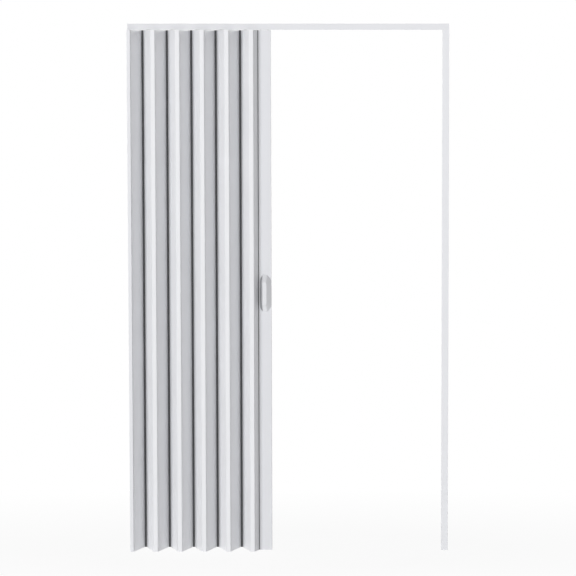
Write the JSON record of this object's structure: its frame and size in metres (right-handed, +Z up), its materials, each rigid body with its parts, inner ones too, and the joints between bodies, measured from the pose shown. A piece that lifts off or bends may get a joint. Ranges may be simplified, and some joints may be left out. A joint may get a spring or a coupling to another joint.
{
  "type": "accordion door",
  "caption": "White vinyl accordion door: hollow panels fold in a zigzag along a head track, with a lead post, pull handles and a magnetic strike jamb.",
  "frame": {"origin": "on the floor, at mid-width of the doorway, under the centre line of the head track", "axes": "+X along the track from the wall profile to the strike jamb, +Y away from the viewer, +Z up"},
  "size_m": [1.228, 0.1028, 2.032],
  "materials": {
    "panel_vinyl": "satin white vinyl",
    "strip_vinyl": "satin white vinyl",
    "profile_vinyl": "satin white vinyl",
    "handle_plastic": "moulded, semi-gloss",
    "grey_seal": "soft dark grey vinyl",
    "nylon": "natural nylon",
    "steel": "zinc plated",
    "magnet": "flexible magnet"
  },
  "bodies": {
    "frame": {"top_track": "profile_vinyl", "wall_profile": "profile_vinyl", "strike_jamb": "profile_vinyl", "strike_strip": "steel"},
    "panel_01": {"panel_01": "panel_vinyl"},
    "strip_01": {"hinge_strip_01": "strip_vinyl", "light_seal_01": "grey_seal"},
    "panel_02": {"panel_02": "panel_vinyl", "glide_02": "nylon"},
    "strip_02": {"hinge_strip_02": "strip_vinyl", "light_seal_02": "grey_seal"},
    "panel_03": {"panel_03": "panel_vinyl"},
    "strip_03": {"hinge_strip_03": "strip_vinyl", "light_seal_03": "grey_seal"},
    "panel_04": {"panel_04": "panel_vinyl", "glide_04": "nylon"},
    "strip_04": {"hinge_strip_04": "strip_vinyl", "light_seal_04": "grey_seal"},
    "panel_05": {"panel_05": "panel_vinyl"},
    "strip_05": {"hinge_strip_05": "strip_vinyl", "light_seal_05": "grey_seal"},
    "panel_06": {"panel_06": "panel_vinyl", "glide_06": "nylon"},
    "strip_06": {"hinge_strip_06": "strip_vinyl", "light_seal_06": "grey_seal"},
    "panel_07": {"panel_07": "panel_vinyl"},
    "strip_07": {"hinge_strip_07": "strip_vinyl", "light_seal_07": "grey_seal"},
    "panel_08": {"panel_08": "panel_vinyl", "glide_08": "nylon"},
    "strip_08": {"hinge_strip_08": "strip_vinyl", "light_seal_08": "grey_seal"},
    "panel_09": {"panel_09": "panel_vinyl"},
    "strip_09": {"hinge_strip_09": "strip_vinyl", "light_seal_09": "grey_seal"},
    "panel_10": {"panel_10": "panel_vinyl", "glide_10": "nylon"},
    "strip_10": {"hinge_strip_10": "strip_vinyl", "light_seal_10": "grey_seal"},
    "half_panel": {"half_panel": "panel_vinyl"},
    "lead_post": {"lead_post": "profile_vinyl", "post_top_cap": "profile_vinyl", "post_bottom_cap": "profile_vinyl", "post_glides": "nylon", "post_magnet": "magnet", "front_handle": "handle_plastic", "rear_handle": "handle_plastic", "handle_screws": "steel"}
  },
  "joints": [
    {"name": "fold", "type": "hinge", "parent": "frame", "child": "panel_01", "pos_m": [-0.60155, -0.04713, 1.0046], "axis": [0, 0, -1], "range_deg": [-5.75, 34.64]},
    {"name": "strip_01_hinge", "type": "hinge", "parent": "panel_01", "child": "strip_01", "pos_m": [-0.56814, 0.04713, 1.0046], "axis": [0, 0, -1], "range_deg": [-34.69, 5.8]},
    {"name": "panel_02_hinge", "type": "hinge", "parent": "strip_01", "child": "panel_02", "pos_m": [-0.55474, 0.04713, 1.0046], "axis": [0, 0, -1], "range_deg": [-57.32, 9.56]},
    {"name": "strip_02_hinge", "type": "hinge", "parent": "panel_02", "child": "strip_02", "pos_m": [-0.52132, -0.04713, 1.0046], "axis": [0, 0, -1], "range_deg": [-9.56, 57.32]},
    {"name": "panel_03_hinge", "type": "hinge", "parent": "strip_02", "child": "panel_03", "pos_m": [-0.50792, -0.04713, 1.0046], "axis": [0, 0, -1], "range_deg": [-9.56, 57.32]},
    {"name": "strip_03_hinge", "type": "hinge", "parent": "panel_03", "child": "strip_03", "pos_m": [-0.47451, 0.04713, 1.0046], "axis": [0, 0, -1], "range_deg": [-57.32, 9.56]},
    {"name": "panel_04_hinge", "type": "hinge", "parent": "strip_03", "child": "panel_04", "pos_m": [-0.46111, 0.04713, 1.0046], "axis": [0, 0, -1], "range_deg": [-57.32, 9.56]},
    {"name": "strip_04_hinge", "type": "hinge", "parent": "panel_04", "child": "strip_04", "pos_m": [-0.4277, -0.04713, 1.0046], "axis": [0, 0, -1], "range_deg": [-9.56, 57.32]},
    {"name": "panel_05_hinge", "type": "hinge", "parent": "strip_04", "child": "panel_05", "pos_m": [-0.4143, -0.04713, 1.0046], "axis": [0, 0, -1], "range_deg": [-9.56, 57.32]},
    {"name": "strip_05_hinge", "type": "hinge", "parent": "panel_05", "child": "strip_05", "pos_m": [-0.38088, 0.04713, 1.0046], "axis": [0, 0, -1], "range_deg": [-57.32, 9.56]},
    {"name": "panel_06_hinge", "type": "hinge", "parent": "strip_05", "child": "panel_06", "pos_m": [-0.36748, 0.04713, 1.0046], "axis": [0, 0, -1], "range_deg": [-57.32, 9.56]},
    {"name": "strip_06_hinge", "type": "hinge", "parent": "panel_06", "child": "strip_06", "pos_m": [-0.33407, -0.04713, 1.0046], "axis": [0, 0, -1], "range_deg": [-9.56, 57.32]},
    {"name": "panel_07_hinge", "type": "hinge", "parent": "strip_06", "child": "panel_07", "pos_m": [-0.32067, -0.04713, 1.0046], "axis": [0, 0, -1], "range_deg": [-9.56, 57.32]},
    {"name": "strip_07_hinge", "type": "hinge", "parent": "panel_07", "child": "strip_07", "pos_m": [-0.28725, 0.04713, 1.0046], "axis": [0, 0, -1], "range_deg": [-57.32, 9.56]},
    {"name": "panel_08_hinge", "type": "hinge", "parent": "strip_07", "child": "panel_08", "pos_m": [-0.27386, 0.04713, 1.0046], "axis": [0, 0, -1], "range_deg": [-57.32, 9.56]},
    {"name": "strip_08_hinge", "type": "hinge", "parent": "panel_08", "child": "strip_08", "pos_m": [-0.24044, -0.04713, 1.0046], "axis": [0, 0, -1], "range_deg": [-9.56, 57.32]},
    {"name": "panel_09_hinge", "type": "hinge", "parent": "strip_08", "child": "panel_09", "pos_m": [-0.22704, -0.04713, 1.0046], "axis": [0, 0, -1], "range_deg": [-9.56, 57.32]},
    {"name": "strip_09_hinge", "type": "hinge", "parent": "panel_09", "child": "strip_09", "pos_m": [-0.19363, 0.04713, 1.0046], "axis": [0, 0, -1], "range_deg": [-57.32, 9.56]},
    {"name": "panel_10_hinge", "type": "hinge", "parent": "strip_09", "child": "panel_10", "pos_m": [-0.18023, 0.04713, 1.0046], "axis": [0, 0, -1], "range_deg": [-57.32, 9.56]},
    {"name": "strip_10_hinge", "type": "hinge", "parent": "panel_10", "child": "strip_10", "pos_m": [-0.14681, -0.04713, 1.0046], "axis": [0, 0, -1], "range_deg": [-9.56, 57.32]},
    {"name": "half_panel_hinge", "type": "hinge", "parent": "strip_10", "child": "half_panel", "pos_m": [-0.13341, -0.04713, 1.0046], "axis": [0, 0, -1], "range_deg": [-9.56, 57.32]},
    {"name": "lead_post_hinge", "type": "hinge", "parent": "half_panel", "child": "lead_post", "pos_m": [-0.11671, 0, 1.0046], "axis": [0, 0, -1], "range_deg": [-57.32, 9.56]}
  ],
  "couplings": [
    {"joint": "strip_01_hinge", "follows": "fold", "ratio": -1},
    {"joint": "panel_02_hinge", "follows": "fold", "ratio": -1.6533},
    {"joint": "strip_02_hinge", "follows": "fold", "ratio": 1.6533},
    {"joint": "panel_03_hinge", "follows": "fold", "ratio": 1.6533},
    {"joint": "strip_03_hinge", "follows": "fold", "ratio": -1.6533},
    {"joint": "panel_04_hinge", "follows": "fold", "ratio": -1.6533},
    {"joint": "strip_04_hinge", "follows": "fold", "ratio": 1.6533},
    {"joint": "panel_05_hinge", "follows": "fold", "ratio": 1.6533},
    {"joint": "strip_05_hinge", "follows": "fold", "ratio": -1.6533},
    {"joint": "panel_06_hinge", "follows": "fold", "ratio": -1.6533},
    {"joint": "strip_06_hinge", "follows": "fold", "ratio": 1.6533},
    {"joint": "panel_07_hinge", "follows": "fold", "ratio": 1.6533},
    {"joint": "strip_07_hinge", "follows": "fold", "ratio": -1.6533},
    {"joint": "panel_08_hinge", "follows": "fold", "ratio": -1.6533},
    {"joint": "strip_08_hinge", "follows": "fold", "ratio": 1.6533},
    {"joint": "panel_09_hinge", "follows": "fold", "ratio": 1.6533},
    {"joint": "strip_09_hinge", "follows": "fold", "ratio": -1.6533},
    {"joint": "panel_10_hinge", "follows": "fold", "ratio": -1.6533},
    {"joint": "strip_10_hinge", "follows": "fold", "ratio": 1.6533},
    {"joint": "half_panel_hinge", "follows": "fold", "ratio": 1.6533},
    {"joint": "lead_post_hinge", "follows": "fold", "ratio": -1.6533}
  ]
}
